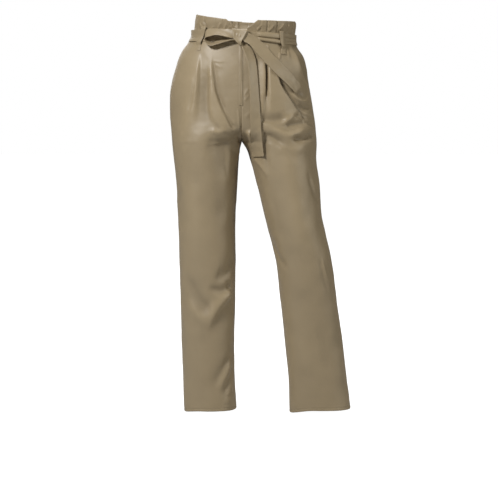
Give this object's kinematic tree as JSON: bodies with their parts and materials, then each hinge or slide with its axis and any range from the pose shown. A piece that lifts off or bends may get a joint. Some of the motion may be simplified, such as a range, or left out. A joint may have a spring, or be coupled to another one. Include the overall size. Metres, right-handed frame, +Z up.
{
  "type": "paperbag waist trousers",
  "caption": "High-waisted trousers with a gathered paperbag frill, tied sash, pleated fronts, slanted pockets and straight ankle-length legs, in worn form.",
  "frame": {"origin": "centre of the waist, at the middle of the sash, where the wearer's waist holds the garment", "axes": "+Z up along the wearer, the front faces -Y, the wearer's right is -X"},
  "size_m": [0.4529, 0.261, 0.978],
  "materials": {
    "coated_cloth": "smooth coated cloth, soft satin sheen, taupe",
    "pocket_cloth": "smooth coated cloth, soft satin sheen, taupe",
    "sash_cloth": "smooth coated cloth, soft satin sheen, taupe"
  },
  "bodies": {
    "root": {"front_right": "coated_cloth", "front_left": "coated_cloth", "back_right": "coated_cloth", "back_left": "coated_cloth", "pocket_facing_right": "pocket_cloth", "pocket_facing_left": "pocket_cloth", "fly": "coated_cloth", "frill_front_right": "coated_cloth", "frill_front_left": "coated_cloth", "frill_back_right": "coated_cloth", "frill_back_left": "coated_cloth", "belt_loop_front_right": "coated_cloth", "belt_loop_front_left": "coated_cloth", "belt_loop_back_right": "coated_cloth", "belt_loop_back_left": "coated_cloth", "belt_loop_centre_back": "coated_cloth", "sash_band_right": "sash_cloth", "sash_band_left": "sash_cloth", "sash_knot": "sash_cloth", "sash_bow_loop": "sash_cloth", "sash_tail_hanging": "sash_cloth", "sash_tail_slanted": "sash_cloth"}
  },
  "joints": []
}
